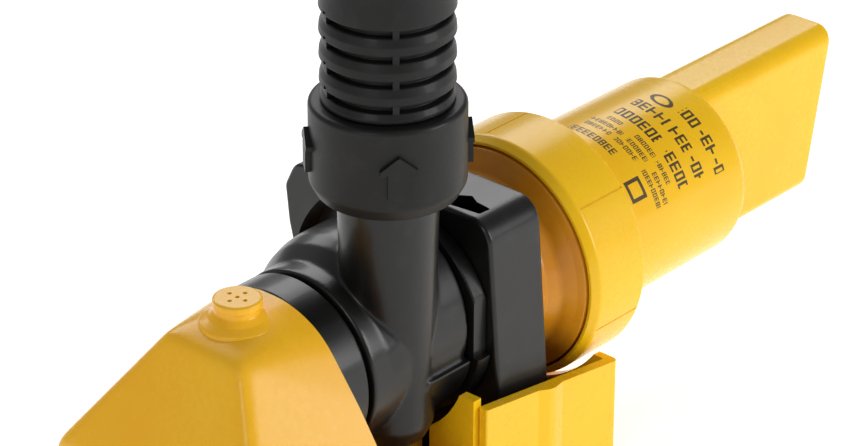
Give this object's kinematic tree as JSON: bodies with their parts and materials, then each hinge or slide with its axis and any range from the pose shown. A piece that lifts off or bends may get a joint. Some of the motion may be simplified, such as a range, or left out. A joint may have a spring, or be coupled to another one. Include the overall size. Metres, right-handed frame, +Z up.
{
  "type": "submersible bilge pump",
  "caption": "Submersible bilge pump with a slotted strainer hood, an upright ribbed hose tail with an inner flap valve, and a motor in a round barrel with a flat tail fin.",
  "frame": {"origin": "middle of the strainer base's underside, below the pump axis", "axes": "+X along the pump axis from the strainer towards the motor's tail fin, +Z up along the outlet"},
  "size_m": [0.227, 0.081, 0.158],
  "materials": {
    "yellow": "glossy moulded",
    "black": "satin moulded",
    "rubber": "matt",
    "steel": "bright",
    "magnet": "dull sintered",
    "copper": "bare copper",
    "bronze": "sintered bronze",
    "board": "solder-masked board"
  },
  "bodies": {
    "pump": {"strainer_base": "yellow", "inlet_pipe": "black", "inlet_guard": "black", "volute_casing": "black", "back_plate": "black", "shaft_seal": "rubber", "casing_screw_1": "steel", "casing_screw_2": "steel", "casing_screw_3": "steel", "switch_housing": "black", "switch_cover": "black", "cover_screw_1": "steel", "cover_screw_2": "steel", "cover_screw_3": "steel", "cover_screw_4": "steel", "circuit_board": "board", "sensor_plate_lower": "copper", "sensor_plate_upper": "copper", "cable_gland": "rubber", "pump_head": "yellow", "housing_o_ring": "rubber", "motor_housing": "yellow", "motor_can": "steel", "magnet_upper": "magnet", "magnet_lower": "magnet", "brush_near": "magnet", "brush_far": "magnet", "brush_plate": "black", "front_bearing": "bronze", "rear_bearing": "bronze", "collar_o_ring": "rubber"},
    "hood": {"strainer_hood": "yellow", "vent_button": "yellow"},
    "rotor": {"shaft": "steel", "impeller": "black", "armature": "steel", "winding_front": "copper", "winding_rear": "copper", "commutator": "copper"},
    "ring": {"locking_ring": "yellow"},
    "outlet": {"outlet_collar": "black", "hose_tail": "black", "valve_seat": "rubber", "flap_pin": "steel"},
    "flap": {"valve_flap": "rubber"}
  },
  "joints": [
    {"name": "rotor_spin", "type": "hinge", "parent": "pump", "child": "rotor", "pos_m": [0.05, 0, 0.042], "axis": [1, 0, 0], "continuous": true},
    {"name": "hood_release", "type": "slide", "parent": "pump", "child": "hood", "axis": [-1, 0, 0], "range_m": [0, 0.045]},
    {"name": "ring_turn", "type": "hinge", "parent": "pump", "child": "ring", "pos_m": [0.0634, 0, 0.042], "axis": [1, 0, 0], "range_deg": [0, 60]},
    {"name": "outlet_turn", "type": "hinge", "parent": "pump", "child": "outlet", "pos_m": [0.0068, -0.0112, 0.09], "axis": [0, 0, 1], "range_deg": [0, 90]},
    {"name": "flap_swing", "type": "hinge", "parent": "outlet", "child": "flap", "pos_m": [-0.0026, -0.0112, 0.0913], "axis": [0, -1, 0], "range_deg": [0, 60]}
  ]
}
